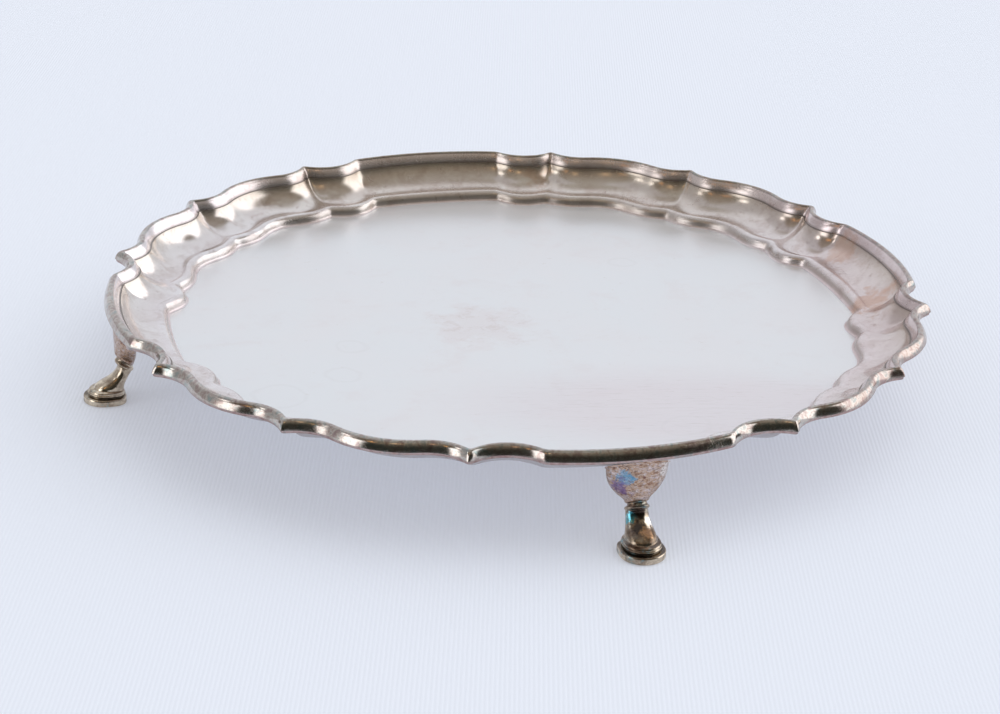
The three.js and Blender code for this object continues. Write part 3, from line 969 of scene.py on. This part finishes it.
# Small lamps: azimuth, elevation, radius in degrees, colour, brightness.
LAMPS = (
    (-80, 42, 5, (1.0, 1.0, 1.0), 3.0),
    (-44, 43, 3, (1.0, 0.50, 0.18), 2.0),
    (-13, 54, 5, (1.0, 0.72, 0.45), 1.2),
)
# Colours of the dim half of the room, from the table up to the ceiling, as share of a right angle.
ROOM_STOPS = (
    (0.00, (0.036, 0.037, 0.032)),
    (0.28, (0.050, 0.049, 0.040)),
    (0.44, (0.15, 0.133, 0.108)),
    (0.66, (0.29, 0.25, 0.205)),
    (0.90, (0.40, 0.39, 0.36)),
)
# Grey wall on the viewer's left: its azimuths, how far its edges fade and its colour.
SIDE_WALL = ((-134, -76), 4, (0.50, 0.50, 0.52))
# The backdrop begins between these azimuths on each side, and ends between these elevations.
BACKDROP_SIDES = (122, 140)
BACKDROP_TOP = (52, 74)
# The key light: its heading, and the cosines from it between which it fades in.
KEY_HEADING = (112, 52)
KEY_FADE = (0.55, 0.98)


def heading(azimuth, elevation):
    """Unit vector of a direction as the tray sees the studio."""
    a, e = math.radians(azimuth + CAMERA["turn"] - 90), math.radians(elevation)
    return (math.cos(a) * math.cos(e), math.sin(a) * math.cos(e), math.sin(e))


def make_world(finish):
    """Two soft boxes, a dim room on the viewer's side, a pale backdrop behind and a soft ceiling."""
    world = bpy.data.worlds.new("studio")
    bpy.context.scene.world = world
    world.use_nodes = True
    world.node_tree.nodes.clear()
    n = Nodes(world.node_tree)
    direction = n.add("ShaderNodeTexCoord").outputs["Generated"]
    to_right = n.dot(direction, heading(90, 0))
    to_viewer = n.dot(direction, heading(0, 0))
    azimuth = n.math("DEGREES", n.math("ARCTAN2", to_right, to_viewer))
    elevation = n.math("DEGREES", n.math("ARCSINE", n.dot(direction, (0, 0, 1))))

    colour = n.colours(n.math("DIVIDE", elevation, 90.0), ROOM_STOPS)
    wall_azimuths, wall_fade, wall = SIDE_WALL
    colour = n.mix(between(n, azimuth, *wall_azimuths, wall_fade), colour, rgba(wall))
    behind = n.ramp(n.math("ABSOLUTE", azimuth), *BACKDROP_SIDES)
    under_top = n.ramp(elevation, *BACKDROP_TOP, 1.0, 0.0)
    colour = n.mix(n.math("MULTIPLY", behind, under_top), colour, rgba(finish.backdrop_colour))
    for azimuths, elevations, power in SOFT_BOXES:
        sides = between(n, azimuth, *azimuths, BOX_FADE[0])
        ends = between(n, elevation, *elevations, BOX_FADE[1])
        colour = n.mix(n.math("MULTIPLY", sides, ends), colour, (power, power, power * 1.02, 1))
    for at, height, radius, tint, power in LAMPS:
        edge = math.cos(math.radians(radius))
        spot = n.ramp(n.dot(direction, heading(at, height)), edge - 0.001, edge + 0.001)
        colour = n.mix(spot, colour, rgba(c * power for c in tint))

    key = n.ramp(n.dot(direction, heading(*KEY_HEADING)), *KEY_FADE)
    soft = n.mix(key, rgba(finish.fill_colour), rgba(finish.key_colour))
    light_path = n.add("ShaderNodeLightPath").outputs
    colour = n.mix(light_path["Is Diffuse Ray"], colour, soft)
    colour = n.mix(light_path["Is Camera Ray"], colour, rgba(finish.wall_colour))
    background = n.add("ShaderNodeBackground", {"Color": colour, "Strength": 1.0})
    output = n.add("ShaderNodeOutputWorld")
    world.node_tree.links.new(background.outputs[0], output.inputs["Surface"])


class SALVER_OT_stage(bpy.types.Operator):
    """Lay the cloth and set up the lights, the surroundings and the camera"""

    bl_idname = "salver.stage"
    bl_label = "Stage"

    def execute(self, context):
        scene = context.scene
        bm = bmesh.new()
        bmesh.ops.create_grid(bm, x_segments=1, y_segments=1, size=scene.salver_sizes.floor_size / 2)
        mesh = bpy.data.meshes.new("cloth")
        bm.to_mesh(mesh)
        bm.free()
        cloth = bpy.data.objects.new("cloth", mesh)
        scene.collection.objects.link(cloth)
        mesh.materials.append(cloth_material(scene.salver_finish))
        make_world(scene.salver_finish)
        make_camera()
        scene.view_settings.view_transform = "Standard"
        return {"FINISHED"}


STEPS = (SALVER_OT_plate, SALVER_OT_border, SALVER_OT_knees, SALVER_OT_legs, SALVER_OT_stage)


class SALVER_PT_panel(bpy.types.Panel):
    """Steps and settings of the salver"""

    bl_idname = "SALVER_PT_panel"
    bl_label = "Footed Salver"
    bl_space_type = "VIEW_3D"
    bl_region_type = "UI"
    bl_category = "Salver"

    def draw(self, context):
        for step in STEPS:
            self.layout.operator(step.bl_idname)
        for group in (context.scene.salver_sizes, context.scene.salver_finish):
            for name in group.bl_rna.properties.keys():
                if name not in ("rna_type", "name"):
                    self.layout.prop(group, name)


CLASSES = (SalverSizes, SalverFinish, *STEPS, SALVER_PT_panel)


def register():
    for cls in CLASSES:
        bpy.utils.register_class(cls)
    bpy.types.Scene.salver_sizes = bpy.props.PointerProperty(type=SalverSizes)
    bpy.types.Scene.salver_finish = bpy.props.PointerProperty(type=SalverFinish)


def unregister():
    del bpy.types.Scene.salver_finish
    del bpy.types.Scene.salver_sizes
    for cls in reversed(CLASSES):
        bpy.utils.unregister_class(cls)


def main():
    register()
    bpy.ops.salver.plate()
    bpy.ops.salver.border()
    bpy.ops.salver.knees()
    bpy.ops.salver.legs()
    bpy.ops.salver.stage()


if __name__ == "__main__":
    main()
